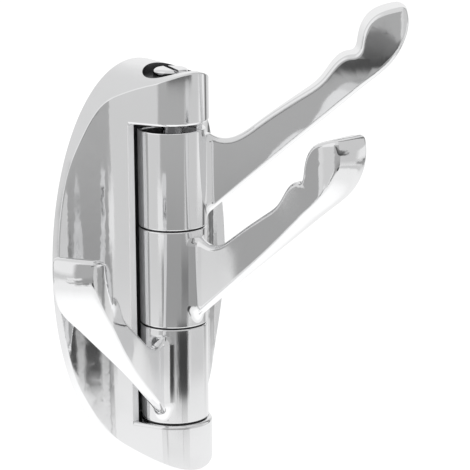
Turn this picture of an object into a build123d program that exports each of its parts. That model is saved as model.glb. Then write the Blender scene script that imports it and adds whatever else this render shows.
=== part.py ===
from build123d import *
import math
import os

os.makedirs("parts", exist_ok=True)

# Row frame in millimetres: +X right, +Y into the wall, +Z up.
# The wall is the plane Y = 0, and the hook stands out of it towards -Y.

# Base, one casting. Its half height and half width are those of the ellipse on the wall.
base_height = 104.8
base_width = 53.5
cap_draft = 1.4
crease_easing = 0.45
flank_angle = 25.0
rim_depth = 2.6
pivot_depth = 15.3
boss_radius = 9.5
pocket_radius = 10.2
mouth_easing = 0.9
pocket_shift = -0.45
stack_gap = 1.71
wall_land = 12.8
back_lip = 5.0
back_step = 1.4
core_wall = 2.2
core_corner = 2.2
flank_core_inset = 14.3
flank_core_width = 5.9
flank_core_margin = 18.4
flank_core_depth = 4.2
boss_core_inset = 8.4
boss_core_width = 14.2
boss_core_height = 7.3
boss_core_depth = 8.4

# Pivot pin, drawn down through the upper boss and screwed into the lower one.
pin_radius = 2.5
head_radius = 4.4
head_thickness = 2.0
head_drop = 0.6
head_easing = 0.9
counterbore_radius = 7.0
slot_width = 1.2
slot_depth = 0.9
slot_turn = -16.0
pin_floor = 3.4
pin_point = 0.5

# Wall screws behind the barrels.
screw_radius = 1.9
screw_head_radius = 3.7
screw_spacing = 50.0
sink_depth = 0.6

# Arms: three castings of one shape, stacked on the pin with a washer under each.
barrel_radius = 8.65
barrel_height = 24.95
washer_radius = 8.1
washer_thickness = 0.3
seam_play = 0.04
running_clearance = 0.05
arm_reach = 58.6
arm_slope = 39.8
arm_thickness = 8.0
crown_radius = 17.0
fin_half_width = 1.5
paddle_half_width = 6.0
root_level = 3.6
root_fillet = 3.5
blade_drop = 1.7
dip_drop = 3.1
dip_reach = 14.0
crown_start = 0.15
crown_drop = 0.24
blade_easing = 1.3
rim_easing = 0.35
arm_angles = [56.0, 10.0, -60.0]

# Cylinders that stand on their foot.
standing = (Align.CENTER, Align.CENTER, Align.MIN)

half_height = base_height / 2
half_width = base_width / 2
front = pivot_depth + boss_radius
rise = math.tan(math.radians(arm_slope))
pitch = barrel_height + washer_thickness + 2 * seam_play
pocket_height = 3 * pitch + stack_gap
pocket_bottom = pocket_shift - pocket_height / 2
pocket_top = pocket_shift + pocket_height / 2
head_level = half_height - head_drop
pin_end = pin_floor - half_height


def under_edge(s):
    """Height of the arm's straight lower edge over the barrel's foot, at distance s from the pivot."""
    return root_level + (s - barrel_radius) * rise


def profile_point(part_of_reach, thicknesses):
    """A point of the arm's side profile, so many arm thicknesses above the lower edge."""
    s = part_of_reach * arm_reach
    return (s, under_edge(s) + thicknesses * arm_thickness)


# One arm lies along +X, its barrel's foot at the origin. Its blade is what three shapes have in common:
# the plan seen from above, the side view with its two scallops, and a turned shape that crowns the outer face.
with BuildPart() as arm_shape:
    with BuildSketch(Plane.XY) as plan:
        with BuildLine() as plan_line:
            side = Spline(
                (0.30 * arm_reach, fin_half_width),
                (0.55 * arm_reach, 0.40 * paddle_half_width),
                (0.77 * arm_reach, 0.76 * paddle_half_width),
                (0.90 * arm_reach, 0.97 * paddle_half_width),
                (0.97 * arm_reach, 0.97 * paddle_half_width),
                (1.04 * arm_reach, 0.55 * paddle_half_width),
                tangents=((1, 0), (0.35, -1)),
            )
            straight = Line((0, fin_half_width), side @ 0)
            nose = Line(side @ 1, (1.04 * arm_reach, -0.55 * paddle_half_width))
            mirror([side, straight], about=Plane.XZ)
            root = Line((0, fin_half_width), (0, -fin_half_width))
        make_face()
    extrude(amount=1.6 * arm_reach)
    with BuildSketch(Plane.XZ.offset(-2 * paddle_half_width)) as side_view:
        with BuildLine() as side_line:
            scallop_lower = Spline(
                (1.12 * barrel_radius, barrel_height - blade_drop),
                (dip_reach, barrel_height - dip_drop),
                profile_point(0.375, 1.40),
                profile_point(0.570, 1.15),
                profile_point(0.645, 1.10),
                profile_point(0.698, 1.27),
                profile_point(0.735, 1.28),
                profile_point(0.775, 1.12),
            )
            scallop_upper = Spline(
                scallop_lower @ 1,
                profile_point(0.810, 1.28),
                profile_point(0.832, 1.68),
                profile_point(0.875, 1.76),
                profile_point(0.950, 1.50),
                profile_point(1.035, 1.06),
                tangents=(scallop_lower % 1, (1, 0.1)),
            )
            outside = Polyline(
                scallop_upper @ 1,
                (1.07 * arm_reach, under_edge(arm_reach)),
                (0.9 * arm_reach, under_edge(0.9 * arm_reach) - arm_thickness),
                (0, -2 * arm_thickness),
                (0, barrel_height - blade_drop),
                scallop_lower @ 0,
            )
        make_face()
    extrude(amount=4 * paddle_half_width, mode=Mode.INTERSECT)
    with BuildSketch(Plane.XZ) as crown:
        with BuildLine() as crown_line:
            lower = Line(profile_point(0, -crown_start), profile_point(0.80, -crown_drop))
            belly = Spline(
                lower @ 1,
                profile_point(0.95, -crown_drop),
                profile_point(1.00, 0.06),
                profile_point(1.02, 0.62),
                profile_point(1.00, 1.40),
                tangents=(lower % 1, (-0.3, 1)),
            )
            along = lower % 1
            up = Vector(-along.Y, along.X)
            axis_start = Vector(lower @ 0) + up * crown_radius
            axis_end = axis_start + along * (Vector(belly @ 1) - axis_start).dot(along)
            Polyline(belly @ 1, axis_end, axis_start, lower @ 0)
        make_face()
    revolve(axis=Axis((axis_start.X, 0, axis_start.Y), (along.X, 0, along.Y)), mode=Mode.INTERSECT)
    long_edges = arm_shape.edges().filter_by(lambda e: abs((e @ 0.5).Y) > 1 and (e @ 0.5).X > 5)
    long_edges = long_edges.filter_by(lambda e: abs((e @ 0).X - (e @ 1).X) > 0.1)
    nose_edge = arm_shape.edges().filter_by(lambda e: abs((e @ 0.5).Y) < 1).sort_by(Axis.Z)[-1]
    fillet(long_edges + [nose_edge], radius=blade_easing)
    with Locations(Location((0, 0, barrel_height / 2), (0, 0, 180))):
        Cylinder(barrel_radius, barrel_height)
    root_edges = arm_shape.edges().filter_by(Axis.Z).filter_by(lambda e: 0 < (e @ 0.5).X < 1.2 * barrel_radius)
    fillet(root_edges, radius=root_fillet)
    rims = arm_shape.edges().filter_by(GeomType.CIRCLE).filter_by(
        lambda e: abs(e.radius - barrel_radius) < 0.01 and e.length > 6 * barrel_radius
    )
    fillet(rims, radius=rim_easing)
    with Locations((0, 0, barrel_height / 2)):
        Cylinder(pin_radius + running_clearance, barrel_height + 2, mode=Mode.SUBTRACT)


def seat(level):
    """Height of the foot of the arm that is number level from the bottom."""
    return pocket_bottom + level * pitch + washer_thickness + seam_play * 2


# The three arms, turned about the pin to where they stand at rest.
with BuildPart() as upper_arm:
    with Locations(Location((0, -pivot_depth, seat(2)), (0, 0, arm_angles[0] - 90))):
        add(arm_shape.part)

with BuildPart() as middle_arm:
    with Locations(Location((0, -pivot_depth, seat(1)), (0, 0, arm_angles[1] - 90))):
        add(arm_shape.part)

with BuildPart() as lower_arm:
    with Locations(Location((0, -pivot_depth, seat(0)), (0, 0, arm_angles[2] - 90))):
        add(arm_shape.part)

# The base: an ellipse drawn out of the wall with a little draft, cut to a bell-shaped section by a tall prism.
with BuildPart() as base:
    draft_loss = (front + 1) * math.tan(math.radians(cap_draft))
    with BuildSketch(Plane.XZ) as wall_outline:
        Ellipse(half_width, half_height)
    with BuildSketch(Plane.XZ.offset(front + 1)) as front_outline:
        Ellipse(half_width - draft_loss, half_height - draft_loss)
    loft()
    lean = math.radians(flank_angle)
    touch = (boss_radius * math.cos(lean), -pivot_depth - boss_radius * math.sin(lean))
    straight_run = 1.16 * boss_radius
    with BuildSketch(Plane.XY.offset(-half_height)) as bell:
        with BuildLine() as bell_line:
            boss_arc = ThreePointArc((-touch[0], touch[1]), (0, -front), touch)
            flank = PolarLine(touch, straight_run, direction=(math.sin(lean), math.cos(lean)))
            skirt = Spline(
                flank @ 1,
                (0.60 * half_width, -2.38 * rim_depth),
                (0.76 * half_width, -1.64 * rim_depth),
                (0.93 * half_width, -rim_depth),
                tangents=((math.sin(lean), math.cos(lean)), (1, 0)),
            )
            lip = Line(skirt @ 1, (half_width + 1, -rim_depth))
            edge = Line(lip @ 1, (half_width + 1, 0))
            mirror([flank, skirt, lip, edge], about=Plane.YZ)
            Line((half_width + 1, 0), (-half_width - 1, 0))
        make_face()
    extrude(amount=base_height, mode=Mode.INTERSECT)
    crease = base.edges().filter_by(lambda e: (e @ 0.5).Y < -1 and abs((e @ 0.5).X) > 0.01)
    crease = crease.filter_by(Axis.Z, reverse=True) + base.edges().filter_by(lambda e: (e @ 0.5).Y < -front + 2)
    fillet(crease, radius=crease_easing)

    # The pocket for the barrels: a bore on the pin's axis, open to the front.
    with Locations(Location((0, -pivot_depth, pocket_shift), (0, 0, 90))):
        Cylinder(pocket_radius, pocket_height, mode=Mode.SUBTRACT)
    with Locations((0, -wall_land, pocket_shift)):
        ahead = (Align.CENTER, Align.MAX, Align.CENTER)
        Box(2 * half_width, front, pocket_height, align=ahead, mode=Mode.SUBTRACT)
    boss_rims = base.edges().filter_by(lambda e: (e @ 0.5).Y < -wall_land - 1)
    boss_rims = boss_rims.filter_by(lambda e: abs(abs((e @ 0.5).Z - pocket_shift) - pocket_height / 2) < 0.01)
    fillet(boss_rims, radius=mouth_easing)

    # The pin's seats: a counterbore from the top, a through hole in the upper boss, a blind one in the lower.
    with Locations((0, -pivot_depth, head_level - head_thickness)):
        Cylinder(counterbore_radius, half_height, align=standing, mode=Mode.SUBTRACT)
    with Locations((0, -pivot_depth, pin_end - 1)):
        Cylinder(pin_radius + running_clearance, base_height, align=standing, mode=Mode.SUBTRACT)

    # The hollow back: a shallow step inside a lip, deeper cores in the thick places, pads left at the screws.
    with BuildSketch(Plane.XZ) as step:
        Ellipse(half_width - back_lip, half_height - back_lip)
        with GridLocations(0, screw_spacing, 1, 2):
            Circle(screw_head_radius + core_wall, mode=Mode.SUBTRACT)
    extrude(amount=back_step, mode=Mode.SUBTRACT)

    # Deeper cores: one behind each flank beside the pocket, one behind each boss.
    with BuildSketch(Plane.XZ) as flank_cores:
        with GridLocations(2 * (half_width - flank_core_inset), 0, 2, 1):
            RectangleRounded(flank_core_width, base_height - 2 * flank_core_margin, core_corner)
    extrude(amount=flank_core_depth, mode=Mode.SUBTRACT)
    with BuildSketch(Plane.XZ) as boss_cores:
        with GridLocations(0, 2 * (half_height - boss_core_inset), 1, 2):
            RectangleRounded(boss_core_width, boss_core_height, core_corner)
    extrude(amount=boss_core_depth, mode=Mode.SUBTRACT)

    # Countersunk holes for the wall screws, in the web behind the barrels.
    with Locations(Plane.XZ.offset(pivot_depth - pocket_radius + sink_depth)):
        with GridLocations(0, screw_spacing, 1, 2):
            CounterSinkHole(screw_radius, screw_head_radius, depth=front, counter_sink_angle=90)

with BuildPart() as pivot_pin:
    with Locations((0, -pivot_depth, pin_end)):
        Cylinder(pin_radius, head_level - pin_end - head_thickness / 2, align=standing)
    chamfer(pivot_pin.edges().sort_by(Axis.Z)[0], length=pin_point)
    with Locations((0, -pivot_depth, head_level - head_thickness)):
        Cylinder(head_radius, head_thickness, align=standing)
    fillet(pivot_pin.edges().filter_by(GeomType.CIRCLE).sort_by(Axis.Z)[-1], radius=head_easing)
    with Locations(Location((0, -pivot_depth, head_level), (0, 0, slot_turn))):
        Box(slot_width, 3 * head_radius, 2 * slot_depth, mode=Mode.SUBTRACT)

washers = []
for level in range(3):
    with BuildPart() as washer:
        with BuildSketch(Plane.XY.offset(pocket_bottom + level * pitch + seam_play)):
            with Locations((0, -pivot_depth)):
                Circle(washer_radius)
                Circle(pin_radius + running_clearance, mode=Mode.SUBTRACT)
        extrude(amount=washer_thickness)
    washers.append(washer.part)

pieces = {
    "base": base.part,
    "upper_arm": upper_arm.part,
    "middle_arm": middle_arm.part,
    "lower_arm": lower_arm.part,
    "pivot_pin": pivot_pin.part,
    "lower_washer": washers[0],
    "middle_washer": washers[1],
    "upper_washer": washers[2],
}
for piece_name, piece in pieces.items():
    piece.label = piece_name
    export_step(piece, f"parts/{piece_name}.step")
    print(piece_name, round(piece.volume, 1), len(piece.solids()), len(piece.faces()), piece.is_valid)
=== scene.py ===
# %% [markdown]
# # A swivel wall hook in chrome
# The hook is a tall cast base with three arms that swing on one upright pin. Its solids come from the CAD
# model, so this lesson is about what they still lack: a camera that sees them as the photo does, surfaces
# smooth enough to mirror a studio, a chrome that isn't one flat colour, and light that chrome likes.

# %% Load the frame
import math

import bpy
import numpy as np
from mathutils import Matrix, Vector


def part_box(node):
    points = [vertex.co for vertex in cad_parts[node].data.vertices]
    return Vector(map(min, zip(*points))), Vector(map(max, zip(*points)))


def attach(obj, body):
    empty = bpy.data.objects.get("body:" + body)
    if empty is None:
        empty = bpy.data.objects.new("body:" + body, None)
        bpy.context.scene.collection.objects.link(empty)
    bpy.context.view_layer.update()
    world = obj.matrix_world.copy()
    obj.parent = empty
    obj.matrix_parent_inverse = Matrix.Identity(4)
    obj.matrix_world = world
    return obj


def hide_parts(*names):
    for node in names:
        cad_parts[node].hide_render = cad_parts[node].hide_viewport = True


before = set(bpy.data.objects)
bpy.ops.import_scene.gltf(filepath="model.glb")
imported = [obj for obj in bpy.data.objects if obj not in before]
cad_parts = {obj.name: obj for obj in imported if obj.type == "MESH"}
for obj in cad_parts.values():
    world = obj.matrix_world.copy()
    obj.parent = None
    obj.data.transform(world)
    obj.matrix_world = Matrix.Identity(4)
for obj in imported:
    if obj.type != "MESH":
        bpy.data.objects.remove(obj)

scene = bpy.context.scene
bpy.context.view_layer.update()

# %% [markdown]
# ## The camera
# The photo was taken from 38 degrees to the left of straight ahead and 14 degrees above, through a long
# lens. A camera can be moved about until the picture looks right, or told to track a point, but then each
# change of angle shifts the framing too. Here the angles make the camera's three axes, and its place
# follows from the pixel that the middle of the pin falls on, so angle and framing are set one at a time.

# %% The camera's axes
PIN_DEPTH = 0.0153
PICTURE = 470
FOCAL_PIXELS = 2501.0
SENSOR_WIDTH = 36.0
METRES_PER_PIXEL = 0.000255
TURN, TILT, ROLL = 0.66313, 0.23922, -0.00812
PIN_PIXEL = Vector((173.27, 266.47))
PIN_MIDDLE = Vector((0.0, -PIN_DEPTH, 0.0005))

look = Vector((math.sin(TURN) * math.cos(TILT), math.cos(TURN) * math.cos(TILT), -math.sin(TILT)))
level_right = Vector((math.cos(TURN), -math.sin(TURN), 0.0))
level_up = level_right.cross(look)
right = level_right * math.cos(ROLL) + level_up * math.sin(ROLL)
up = level_up * math.cos(ROLL) - level_right * math.sin(ROLL)
print("the camera looks along", [round(c, 3) for c in look])

# %% Camera
from_centre = PIN_PIXEL - Vector((PICTURE / 2, PICTURE / 2))
eye = PIN_MIDDLE + METRES_PER_PIXEL * (
    -FOCAL_PIXELS * look - from_centre.x * right + from_centre.y * up
)
camera_data = bpy.data.cameras.new("photo_camera")
camera_data.sensor_width = SENSOR_WIDTH
camera_data.lens = SENSOR_WIDTH * FOCAL_PIXELS / PICTURE
camera_data.clip_start = 0.01
camera = bpy.data.objects.new("photo_camera", camera_data)
scene.collection.objects.link(camera)
camera.matrix_world = Matrix.Translation(eye) @ Matrix((right, up, -look)).transposed().to_4x4()
scene.camera = camera
print("camera stands", round((eye - PIN_MIDDLE).length, 3), "m from the pin")

# %% [markdown]
# ## Writing shader maths as Python
# A finish such as worn chrome soon holds dozens of Math nodes. They could be placed and linked one by one,
# but then nobody can read the formula. This small class wraps one socket, so that an ordinary expression
# such as `0.04 + 0.02 * smudge` adds the nodes that it needs. Everything else comes from one method, `add`,
# that takes a node's type, its settings and what goes into its sockets.

# %% A wrapped socket
class Value:
    """One output socket of a node tree; arithmetic on it adds Math nodes."""

    def __init__(self, bench, socket):
        self.bench = bench
        self.socket = socket

    def math(self, operation, *others):
        return self.bench.add("ShaderNodeMath", {"operation": operation}, [self, *others])

    def __add__(self, other):
        return self.math("ADD", other)

    def __sub__(self, other):
        return self.math("SUBTRACT", other)

    def __mul__(self, other):
        return self.math("MULTIPLY", other)

    __radd__ = __add__
    __rmul__ = __mul__

    def __rsub__(self, other):
        return self.bench.add("ShaderNodeMath", {"operation": "SUBTRACT"}, [other, self])

    def step(self, low, high):
        """0 below low, 1 above high, and a smooth ramp between them."""
        return self.bench.add(
            "ShaderNodeMapRange",
            {"interpolation_type": "SMOOTHSTEP"},
            {"Value": self, "From Min": low, "From Max": high},
        )


print("sockets take part in sums and products")

# %% A bench for nodes
class Bench:
    """A node tree with one way to add a node."""

    def __init__(self, tree):
        self.tree = tree
        tree.nodes.clear()

    def add(self, kind, settings=None, inputs=None, output=0):
        node = self.tree.nodes.new(kind)
        for name, setting in (settings or {}).items():
            setattr(node, name, setting)
        pairs = inputs.items() if isinstance(inputs, dict) else enumerate(inputs or [])
        for name, value in pairs:
            if isinstance(value, Value):
                self.tree.links.new(value.socket, node.inputs[name])
            else:
                node.inputs[name].default_value = value
        return Value(self, node.outputs[output]) if node.outputs else node

    def split(self, vector):
        """The x, y and z of a vector, as three values."""
        first = self.add("ShaderNodeSeparateXYZ", {}, [vector])
        return [Value(self, socket) for socket in first.socket.node.outputs]

    def place(self):
        """Object coordinates, which stay with the piece when its body moves."""
        return self.add("ShaderNodeTexCoord", output=3)

    def noise(self, place, scale, detail, squeeze=None):
        """Noise with about that many lumps to the metre, times squeeze along each axis."""
        if squeeze:
            place = self.add("ShaderNodeMapping", {}, {"Vector": place, "Scale": squeeze})
        return self.add("ShaderNodeTexNoise", {}, {"Vector": place, "Scale": scale, "Detail": detail})

    def blend(self, share, first, second):
        """The first colour where share is 0, and the second where it is 1."""
        return self.add(
            "ShaderNodeMix",
            {"data_type": "RGBA"},
            {"Factor": share, "A": (*first, 1.0), "B": (*second, 1.0)},
            output=2,
        )


print("a bench adds nodes, splits vectors and blends colours")

# %% New materials and objects
def new_material(name):
    """An empty material and the bench to build it on."""
    material = bpy.data.materials.new(name)
    material.use_nodes = True
    return material, Bench(material.node_tree)


def add_object(name, mesh):
    """An object of that mesh, put into the scene."""
    thing = bpy.data.objects.new(name, mesh)
    scene.collection.objects.link(thing)
    return thing


print("helpers ready for materials and objects")

# %% [markdown]
# ## Chrome
# Chrome is all reflection: the metal itself is a pale, slightly blue grey, and what is seen is the room.
# Real plated castings still give themselves away. The polishing wheel leaves slow waves in the surface, the
# buffing leaves hair lines too fine to see singly, and handling leaves patches a little less sharp. A
# picture of scratches could be laid on, but it repeats and is right at one distance only. Noise on Object
# coordinates has neither fault, and it stays with an arm that swings. The waves go into Bump, the hair
# lines and patches into Roughness, and a trace of the patches into the colour.

# %% Where the polishing wheel doesn't reach, and where shade is painted
POCKET_MIDDLE = -0.00045
POCKET_HALF_HEIGHT = 0.0387
POCKET_REACH = 0.012
LAND = -0.01285
# Deep in the pocket the colour darkens between these depths: painted shade in the recess.
DARK_BEGINS, DARK_FULL = -0.0074, -0.0066
COUNTERBORE_RADIUS = 0.00708
COUNTERBORE_FLOOR = 0.045


def inside_of_pocket(bench, place):
    """1 on the pocket's walls, 1 deep in it, and 1 in the counterbore. No polishing wheel reaches the walls
    or the counterbore, and deep in the pocket and in the counterbore the colour is darkened as painted
    shading.
    """
    x, y, z = bench.split(place)
    from_pin = (x * x + (y + PIN_DEPTH) * (y + PIN_DEPTH)).math("SQRT")
    behind_land = y.math("GREATER_THAN", LAND)
    level_with = (z - POCKET_MIDDLE).math("ABSOLUTE").math("LESS_THAN", POCKET_HALF_HEIGHT)
    in_pocket = from_pin.math("LESS_THAN", POCKET_REACH) * behind_land * level_with
    # Deep in the pocket the colour will be darkened as painted shade.
    deep = in_pocket * y.step(DARK_BEGINS, DARK_FULL)
    near_pin = from_pin.math("LESS_THAN", COUNTERBORE_RADIUS)
    # The counterbore is left rough, and its colour is darkened as painted shade.
    in_counterbore = near_pin * z.math("GREATER_THAN", COUNTERBORE_FLOOR)
    return in_pocket, deep, in_counterbore


print("pocket is", round(2000 * POCKET_HALF_HEIGHT, 1), "mm tall")

# %% [markdown]
# ## One chrome for three pieces
# The base, the arms and the pin differ in how sharply they mirror, how deep and long their waves are, and
# where they are dull. Three materials made one by one would drift apart, so one function makes all three.
# `cast` dulls the inside of the base and darkens its deep pocket and counterbore with painted shade, and
# `turned` darkens the pin below its head with painted shade, so that the slot's floor and the shank read as
# they do in the photo.

# %% The marks on the plating
PATCHES_PER_METRE, HAIRS_PER_METRE = 90.0, 9000.0
HAIRS_RUN_UPRIGHT = (1.0, 1.0, 0.08)
SMUDGE_BEGINS, SMUDGE_FULL = 0.52, 0.75
SMUDGE_BLUR, HAIR_BLUR = 0.025, 0.03
SMUDGE_SHADE = 0.03
print("a hair line is about", round(1000 / HAIRS_PER_METRE, 2), "mm wide")

# %% What is left unpolished, and the painted shade
# This dark colour serves both real grime under smudges and painted shade in the pocket, the counterbore and
# on the pin's shank.
GRIME_AND_PAINTED_SHADE = (0.06, 0.06, 0.065)
SLOT_FLOOR = 0.0511
RAW_BLUR = 0.3
# These three darken the colour as painted shade: deep in the pocket, in the counterbore and on the pin's
# shank.
DEEP_PAINTED_SHADE, COUNTERBORE_PAINTED_SHADE, SHANK_PAINTED_SHADE = 0.95, 0.9, 0.75
METAL_LOST_IN_POCKET = 0.85
print("the shank is dark below", round(1000 * SLOT_FLOOR, 1), "mm")

# %% Chrome material
def chrome(name, tint, blur, wave_depth, wave_size, cast=False, turned=False):
    material, bench = new_material(name)
    place = bench.place()
    waves = bench.noise(place, 1 / wave_size, detail=1.0)
    smudge = bench.noise(place, PATCHES_PER_METRE, detail=3.0).step(SMUDGE_BEGINS, SMUDGE_FULL)
    hairs = bench.noise(place, HAIRS_PER_METRE, detail=2.0, squeeze=HAIRS_RUN_UPRIGHT)
    rough = blur + SMUDGE_BLUR * smudge + HAIR_BLUR * hairs
    # Smudges darken the colour a trace as real grime; painted shade is added below.
    smudge_and_painted_shade = smudge * SMUDGE_SHADE
    metallic = 1.0
    if cast:
        in_pocket, deep, in_counterbore = inside_of_pocket(bench, place)
        rough = rough + in_pocket * RAW_BLUR + in_counterbore * RAW_BLUR
        # Painted shade: the colour darkens deep in the pocket and in the counterbore.
        smudge_and_painted_shade = smudge_and_painted_shade + deep * DEEP_PAINTED_SHADE + in_counterbore * COUNTERBORE_PAINTED_SHADE
        metallic = 1 - in_pocket * METAL_LOST_IN_POCKET
    if turned:
        height = bench.split(place)[2]
        # Painted shade: the pin's colour is darkened below the slot's floor, along the shank that shows in
        # the gaps between barrels.
        smudge_and_painted_shade = smudge_and_painted_shade + height.math("LESS_THAN", SLOT_FLOOR) * SHANK_PAINTED_SHADE
    bump = bench.add("ShaderNodeBump", {}, {"Height": waves, "Strength": 1.0, "Distance": wave_depth})
    surface = {
        "Base Color": bench.blend(smudge_and_painted_shade, tint, GRIME_AND_PAINTED_SHADE),
        "Metallic": metallic,
        "Roughness": rough,
        "Normal": bump,
    }
    metal = bench.add("ShaderNodeBsdfPrincipled", {}, surface)
    bench.add("ShaderNodeOutputMaterial", {}, [metal])
    return material


print("chrome takes a tint, a blur and the depth and size of its waves")

# %% The three chromes
PLATING, TURNED_PLATING = (0.88, 0.882, 0.888), (0.86, 0.86, 0.87)
cast_waves = {"wave_depth": 0.00001, "wave_size": 0.012}
turned_waves = {"wave_depth": 0.000005, "wave_size": 0.003}
base_chrome = chrome("base_chrome", PLATING, blur=0.075, **cast_waves, cast=True)
casting_chrome = chrome("casting_chrome", PLATING, blur=0.045, **cast_waves)
turned_chrome = chrome("turned_chrome", TURNED_PLATING, blur=0.05, **turned_waves, turned=True)
print("made", base_chrome.name, casting_chrome.name, turned_chrome.name)

# %% [markdown]
# ## Smooth skins for the castings
# The base and arms are cast and the pin is turned, so each has a smooth skin with a few crisp edges. The CAD
# nodes come as loose flat triangles, and a mirror shows every one of them. Subdivision would round the
# crisp edges off, and a remesh would lose the finest. So each node gets a copy with its corners merged and
# shaded smooth, with an edge kept sharp only where two faces meet at more than a given angle. The copy has
# the solid's own form, so it stands in for it.

# %% Smooth copies
MERGE_DECIMALS = 7
LARGE_FACES_LEAD = 100


def smooth_copy(node_name, piece_name, sharp_angle):
    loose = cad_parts[node_name].data
    corners = np.empty(len(loose.vertices) * 3, np.float32)
    loose.vertices.foreach_get("co", corners)
    triangles = np.empty(len(loose.loops), np.int32)
    loose.loops.foreach_get("vertex_index", triangles)
    rounded = np.round(corners.reshape(-1, 3), MERGE_DECIMALS)
    points, merged = np.unique(rounded, axis=0, return_inverse=True)
    faces = merged.ravel()[triangles].reshape(-1, 3)
    faces = [f for f in faces.tolist() if len(set(f)) == 3]
    mesh = bpy.data.meshes.new(piece_name)
    mesh.from_pydata(points.tolist(), [], faces)
    mesh.update()
    mesh.shade_smooth()
    mesh.set_sharp_from_angle(angle=math.radians(sharp_angle))
    piece = add_object(piece_name, mesh)
    weights = piece.modifiers.new("weighted_normals", "WEIGHTED_NORMAL")
    weights.keep_sharp = True
    weights.weight = LARGE_FACES_LEAD
    print(piece_name, len(points), "points", len(faces), "triangles")
    return piece


print("corners merge when they agree to", MERGE_DECIMALS, "decimals of a metre")

# %% Skins in place of the solids
# node, body, slot, material, angle above which an edge stays sharp
skins = [
    ("base", "base", "base_casting", base_chrome, 38.0),
    ("upper_arm", "upper_arm", "arm_casting", casting_chrome, 38.0),
    ("middle_arm", "middle_arm", "arm_casting", casting_chrome, 38.0),
    ("lower_arm", "lower_arm", "arm_casting", casting_chrome, 38.0),
    ("pivot_pin", "base", "pin_steel", turned_chrome, 30.0),
]
for node_name, body, slot, material, sharp_angle in skins:
    skin = smooth_copy(node_name, node_name + "_skin", sharp_angle)
    skin.data.materials.append(material)
    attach(skin, body)
    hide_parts(node_name)

# %% [markdown]
# ## Black nylon
# The dark seams between the barrels are thin washers that keep chrome from rubbing on chrome. A flat black
# would do from far away, but close up it reads as a gap. Moulded nylon is never quite black and never quite
# even, so a fine grain drives both its colour and its roughness.

# %% Washer material
NYLON_DARK, NYLON_PALE = (0.012, 0.012, 0.013), (0.03, 0.03, 0.032)
NYLON_BLUR, GRAIN_BLUR = 0.45, 0.15
GRAINS_PER_METRE = 4000.0
nylon, bench = new_material("black_nylon")
grain = bench.noise(bench.place(), GRAINS_PER_METRE, detail=3.0)
surface = {
    "Base Color": bench.blend(grain, NYLON_DARK, NYLON_PALE),
    "Roughness": NYLON_BLUR + GRAIN_BLUR * grain,
}
plastic = bench.add("ShaderNodeBsdfPrincipled", {}, surface)
bench.add("ShaderNodeOutputMaterial", {}, [plastic])
print("material", nylon.name)

# %% [markdown]
# ## The stack of washers
# Three equal washers a barrel's pitch apart are a rule, not three models, so a Geometry Nodes tree builds
# them: a rectangle swept round a circle, set on a line of points. Its inputs are the sizes a buyer of
# washers would ask for. The CAD boxes supply the numbers, so the stack follows the solids if they change.

# %% What a washer tree is given
FLOAT, WHOLE, PLACE = "NodeSocketFloat", "NodeSocketInt", "NodeSocketVector"
WASHER_INPUTS = {
    "Outer Radius": FLOAT,
    "Bore Radius": FLOAT,
    "Thickness": FLOAT,
    "Pitch": FLOAT,
    "Count": WHOLE,
    "First Centre": PLACE,
}
RING_SIDES = 128
print("a washer has", RING_SIDES, "sides")

# %% Washer tree
def washer_tree(material):
    """A tree that stacks equal washers, and its input sockets by name."""
    tree = bpy.data.node_groups.new("washer_stack", "GeometryNodeTree")
    inputs = {}
    for label, kind in WASHER_INPUTS.items():
        inputs[label] = tree.interface.new_socket(label, in_out="INPUT", socket_type=kind)
    tree.interface.new_socket("Stack", in_out="OUTPUT", socket_type="NodeSocketGeometry")
    bench = Bench(tree)
    given = tree.nodes.new("NodeGroupInput")
    outer, bore, thickness, pitch, count, first = [Value(bench, given.outputs[label]) for label in inputs]
    ring = {"Resolution": RING_SIDES, "Radius": (outer + bore) * 0.5}
    circle = bench.add("GeometryNodeCurvePrimitiveCircle", {}, ring)
    section = {"Width": outer - bore, "Height": thickness}
    rectangle = bench.add("GeometryNodeCurvePrimitiveQuadrilateral", {}, section)
    sweep = {"Curve": circle, "Profile Curve": rectangle}
    washer = bench.add("GeometryNodeCurveToMesh", {}, sweep)
    step = bench.add("ShaderNodeCombineXYZ", {}, {"Z": pitch})
    places = {"Count": count, "Start Location": first, "Offset": step}
    line = bench.add("GeometryNodeMeshLine", {"mode": "OFFSET"}, places)
    stack = bench.add("GeometryNodeInstanceOnPoints", {}, {"Points": line, "Instance": washer})
    real = bench.add("GeometryNodeRealizeInstances", {}, [stack])
    made = bench.add("GeometryNodeSetMaterial", {}, {"Geometry": real, "Material": material})
    out = tree.nodes.new("NodeGroupOutput")
    tree.links.new(made.socket, out.inputs[0])
    return tree, inputs


tree, inputs = washer_tree(nylon)
print(tree.name, "takes", ", ".join(inputs))

# %% Washer sizes
PIN_BORE = 0.00255
washer_names = ["lower_washer", "middle_washer", "upper_washer"]
boxes = [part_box(name) for name in washer_names]
lowest, highest = boxes[0], boxes[-1]
(x_low, y_low, z_low), (x_high, y_high, z_high) = lowest
sizes = {
    "Outer Radius": (x_high - x_low) / 2,
    "Bore Radius": PIN_BORE,
    "Thickness": z_high - z_low,
    "Pitch": (highest[0][2] - lowest[0][2]) / (len(boxes) - 1),
    "Count": len(boxes),
    "First Centre": ((x_low + x_high) / 2, (y_low + y_high) / 2, (z_low + z_high) / 2),
}
print("washers stand", round(1000 * sizes["Pitch"], 2), "mm apart")

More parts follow.
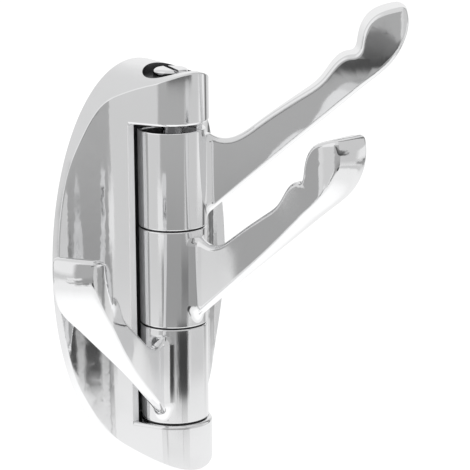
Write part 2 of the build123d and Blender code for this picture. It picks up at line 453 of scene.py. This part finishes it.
# %% Washer piece
holder = add_object("washer_holder", bpy.data.meshes.new("washer_holder"))
rule = holder.modifiers.new("washer_stack", "NODES")
rule.node_group = tree
for label, size in sizes.items():
    rule[inputs[label].identifier] = size
worked_out = holder.evaluated_get(bpy.context.evaluated_depsgraph_get())
washer_mesh = bpy.data.meshes.new_from_object(worked_out)
bpy.data.objects.remove(holder)
washer_mesh.materials.clear()
washer_mesh.materials.append(nylon)
washer_mesh.polygons.foreach_set("material_index", [0] * len(washer_mesh.polygons))
washer_mesh.shade_flat()
washers = add_object("washer_stack", washer_mesh)
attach(washers, "base")
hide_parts(*washer_names)
print(len(boxes), "washers in", len(washer_mesh.polygons), "faces")

# %% [markdown]
# ## The studio
# Chrome is lit by what it sees, so a studio for it is a set of cards. They could be boards and lamps stood
# round the hook, but far ones are simpler to move as numbers. Each card here is a window in azimuth and
# elevation with soft edges and its own grey, laid over the cards before it in the world's background. An
# upright surface whose normal points to azimuth n shows the card at 2n plus 38, which is how each one was
# placed. The cards are for mirrors only: the camera sees plain white, and all else sees an even room.

# %% The directions of the world
DEGREES = 180 / math.pi
world = bpy.data.worlds.new("studio")
scene.world = world
world.use_nodes = True
bench = Bench(world.node_tree)
direction = bench.add("ShaderNodeTexCoord", output=0)
path = bench.tree.nodes.new("ShaderNodeLightPath")
to_camera = Value(bench, path.outputs["Is Camera Ray"])
to_mirror = Value(bench, path.outputs["Is Glossy Ray"])
dir_x, dir_y, dir_z = bench.split(direction)
azimuth = dir_x.math("ARCTAN2", 0 - dir_y) * DEGREES
elevation = dir_z.math("ARCSINE") * DEGREES


def window(value, low, high, softness):
    """1 between low and high, 0 outside them, with soft edges."""
    risen = value.step(low - softness, low + softness)
    fallen = value.step(high - softness, high + softness)
    return risen * (1 - fallen)


print("azimuth 0 is straight ahead of the hook, and elevation 0 is level with it")

# %% The cards
ROOM = 0.94
ALL_ROUND = (-400, 400)
# name, azimuth from and to, elevation from and to, softness, brightness
cards = [
    ("grey wall on the right", 4, 112, -46, 60, 6, 0.80),
    ("left wall", -122, -76, -36, -8, 3, 0.84),
    ("white table", *ALL_ROUND, -95, -42, 6, 1.12),
    ("open side on the left", -112, -77, -60, -20, 4, 1.1),
    ("white panel high on the left", -136, -80, -4, 60, 5, 1.15),
    ("white panel behind on the right", 116, 176, -4, 34, 8, 1.15),
    ("ceiling", *ALL_ROUND, 58, 95, 14, 0.96),
    ("dark stand on the right", 86, 100, -50, 60, 3, 0.22),
]
mirrored = ROOM
for _, az_low, az_high, el_low, el_high, softness, brightness in cards:
    share = window(azimuth, az_low, az_high, softness) * window(elevation, el_low, el_high, softness)
    mirrored = mirrored + (brightness - mirrored) * share
level = ROOM + (mirrored - ROOM) * to_mirror
background = to_camera + (1 - to_camera) * level
light = bench.add("ShaderNodeBackground", {}, {"Strength": background})
bench.add("ShaderNodeOutputWorld", {}, [light])
print(len(cards), "cards stand in the room, which is otherwise", ROOM)

# %% [markdown]
# ## Cloths near the hook
# Barrels, boss and flank are upright, so a far room gives them stripes of one grey from top to bottom. The
# photo's stripes change with height. Painted on the metal, they would be wrong from every other side. They
# take something near, whose upper part shows in the upper part of the hook. So curved cloths hang round the
# pin, each with its own span, height and brightness. One with ragged edges gives the broken streaks that a
# real room leaves in a polished barrel.

# %% The form of a cloth
PANELS = 40


def only_in_mirrors(thing):
    """Hide a studio thing from the camera, from diffuse rays and from shadows."""
    thing.visible_camera = False
    thing.visible_diffuse = False
    thing.visible_shadow = False


def cloth_mesh(name, radius, azimuths, heights):
    """A part of an upright tube round the pin."""
    az_low, az_high = azimuths
    points = []
    for k in range(PANELS + 1):
        a = math.radians(az_low + (az_high - az_low) * k / PANELS)
        for z in heights:
            points.append((radius * math.sin(a), -PIN_DEPTH - radius * math.cos(a), z))
    panels = [(2 * k, 2 * k + 2, 2 * k + 3, 2 * k + 1) for k in range(PANELS)]
    mesh = bpy.data.meshes.new(name)
    mesh.from_pydata(points, [], panels)
    mesh.shade_smooth()
    return mesh


print("a cloth has", PANELS, "panels")

# %% A paint that shines in some places only
def finish_light(bench, shown, strength):
    """A light of that strength where shown is 1, and nothing where it is 0."""
    glow = bench.add("ShaderNodeEmission", {}, {"Strength": strength})
    gap = bench.add("ShaderNodeBsdfTransparent")
    seen = bench.add("ShaderNodeMixShader", {}, [shown, gap, glow])
    bench.add("ShaderNodeOutputMaterial", {}, [seen])


print("where the paint doesn't shine, it is clear")

# %% A curtain
FOLDS_PER_METRE = 90.0
FOLDS_LIE_FLAT = (1.0, 1.0, 5.0)


def curtain(name, radius, azimuths, heights, edge, hem, brightness, ragged=0.0, turning=(-0.075, -0.02)):
    """A cloth that turns from its brightness at the foot to that at the top between two heights."""
    mesh = cloth_mesh(name, radius, azimuths, heights)
    only_in_mirrors(add_object(name, mesh))
    paint, bench = new_material(name + "_cloth")
    place = bench.place()
    x, y, height = bench.split(place)
    along = x.math("ARCTAN2", 0 - (y + PIN_DEPTH)) * DEGREES
    if ragged:
        folds = bench.noise(place, FOLDS_PER_METRE, detail=4.0, squeeze=FOLDS_LIE_FLAT)
        along = along + (folds - 0.5) * ragged
    (az_low, az_high), (foot, top), (at_foot, at_top) = azimuths, heights, brightness
    up_and_down = window(height, foot + hem, top - hem, hem)
    from_side_to_side = window(along, az_low + edge, az_high - edge, edge)
    strength = at_foot + (at_top - at_foot) * height.step(*turning)
    finish_light(bench, up_and_down * from_side_to_side, strength)
    mesh.materials.append(paint)
    print(name, "hangs from", az_low, "to", az_high, "degrees")


print("a curtain is a cloth with its paint")

# %% [markdown]
# ## Hanging them
# The large front curtain gives barrels and arms their grey. The low ones pale it towards the foot, the dark
# legs are the broken streaks on the lowest barrel, and the shades on either side follow the photo from
# barrel to barrel. The small dark fold hangs so close that only the top arm is high enough to see it.

# %% Curtains
# name, radius, azimuths, heights, softness of sides and of hems, brightness at foot and top,
# then raggedness, and the heights between which the brightness turns
curtain("front_curtain", 0.30, (-79.5, 8.5), (-0.149, 0.17), 3.2, 0.004, (0.35, 0.44))
curtain("dark_fold", 0.125, (-50, 30), (0.0275, 0.045), 4.0, 0.0015, (0.06, 0.20), 30, (0.030, 0.042))
curtain("low_light", 0.295, (-64, -8), (-0.149, -0.092), 4.0, 0.005, (0.88, 0.46), 0, (-0.136, -0.104))
curtain("low_left", 0.294, (-79, -60), (-0.149, -0.118), 2.0, 0.004, (0.86, 0.60), 0, (-0.138, -0.118))
curtain("low_right", 0.294, (-14, 9), (-0.149, -0.118), 2.0, 0.004, (0.84, 0.56), 0, (-0.138, -0.118))
curtain("dark_leg_left", 0.29, (-66, -52), (-0.1225, -0.094), 4.0, 0.0022, (0.26, 0.24), 16)
curtain("dark_leg_right", 0.29, (-30, 15), (-0.1225, -0.090), 5.0, 0.0022, (0.05, 0.12), 34)
curtain("faint_leg", 0.292, (-12, 12), (-0.095, -0.058), 3.0, 0.009, (0.22, 0.28), 22)
curtain("left_light", 0.294, (-90, -64), (-0.072, -0.034), 3.0, 0.006, (0.86, 0.86))
curtain("lower_left_shade", 0.291, (-92, -62), (-0.114, -0.086), 4.0, 0.005, (0.50, 0.42))
curtain("lower_right_shade", 0.291, (14, 86), (-0.120, -0.084), 5.0, 0.006, (0.66, 0.66))
curtain("middle_right_shade", 0.291, (54, 92), (-0.088, -0.060), 5.0, 0.005, (0.36, 0.36))
curtain("upper_right_light", 0.291, (50, 92), (-0.058, 0.03), 6.0, 0.006, (0.78, 0.90), 0, (-0.05, -0.03))
curtain("rear_curtain", 0.30, (-139, -122), (-0.13, 0.10), 0.8, 0.01, (0.40, 0.40))

# %% [markdown]
# ## The table in the reflections
# The lower half of the hook looks down at a white table, and grows paler towards its foot. A card low in
# the world can't do that, because it is equally far from every part of the hook. A disc of light close
# under the hook can. Its rim fades, so that no line crosses the barrels.

# %% Table
TABLE_HEIGHT = -0.150
TABLE_RADIUS = 0.8
TABLE_SIDES = 64
TABLE_LIGHT, LIGHT_LOST = 1.14, 0.20
LOSS_BEGINS, LOSS_FULL = 0.14, 0.26
RIM_BEGINS, RIM_CLEAR = 0.30, 0.62
table_mesh = bpy.data.meshes.new("table")
around = [math.radians(360 * k / TABLE_SIDES) for k in range(TABLE_SIDES)]
rim = [(TABLE_RADIUS * math.sin(a), TABLE_RADIUS * math.cos(a), TABLE_HEIGHT) for a in around]
table_mesh.from_pydata(rim, [], [list(range(TABLE_SIDES - 1, -1, -1))])
only_in_mirrors(add_object("table", table_mesh))
table_paint, bench = new_material("table_paint")
x, y, _ = bench.split(bench.place())
reach = (x * x + y * y).math("SQRT")
shown = 1 - reach.step(RIM_BEGINS, RIM_CLEAR)
finish_light(bench, shown, TABLE_LIGHT - LIGHT_LOST * reach.step(LOSS_BEGINS, LOSS_FULL))
table_mesh.materials.append(table_paint)
print("table glows", TABLE_HEIGHT, "m from the hook's middle")

# %% [markdown]
# ## The floor
# The floor is what the camera sees round the hook. More light would turn it white, but would bleach the hook
# as well. So it glows a little below white and takes the rest from the room: it comes out white and still
# keeps the hook's faint shadow. Mirrors look through it.

# %% Floor
FLOOR_HEIGHT = -0.25
FLOOR_REACH = 2
FLOOR_GREY = (0.4, 0.4, 0.4, 1.0)
FLOOR_GLOW = 0.8
floor_mesh = bpy.data.meshes.new("floor")
ways = [(-1, -1), (1, -1), (1, 1), (-1, 1)]
corners = [(FLOOR_REACH * x, FLOOR_REACH * y, FLOOR_HEIGHT) for x, y in ways]
floor_mesh.from_pydata(corners, [], [(0, 1, 2, 3)])
floor = add_object("floor", floor_mesh)
floor_paint, bench = new_material("floor_paint")
path = bench.tree.nodes.new("ShaderNodeLightPath")
glossy = Value(bench, path.outputs["Is Glossy Ray"])
matt = bench.add("ShaderNodeBsdfDiffuse", {}, {"Color": FLOOR_GREY})
glow = bench.add("ShaderNodeEmission", {}, {"Strength": FLOOR_GLOW})
both = bench.add("ShaderNodeAddShader", {}, [matt, glow])
clear = bench.add("ShaderNodeBsdfTransparent")
seen = bench.add("ShaderNodeMixShader", {}, [glossy, both, clear])
bench.add("ShaderNodeOutputMaterial", {}, [seen])
floor_mesh.materials.append(floor_paint)
print("floor lies", FLOOR_HEIGHT, "m from the hook's middle")

# %% [markdown]
# ## The view transform
# Standard is the view transform that leaves the greys as they were chosen.

# %% Finish
scene.view_settings.view_transform = "Standard"
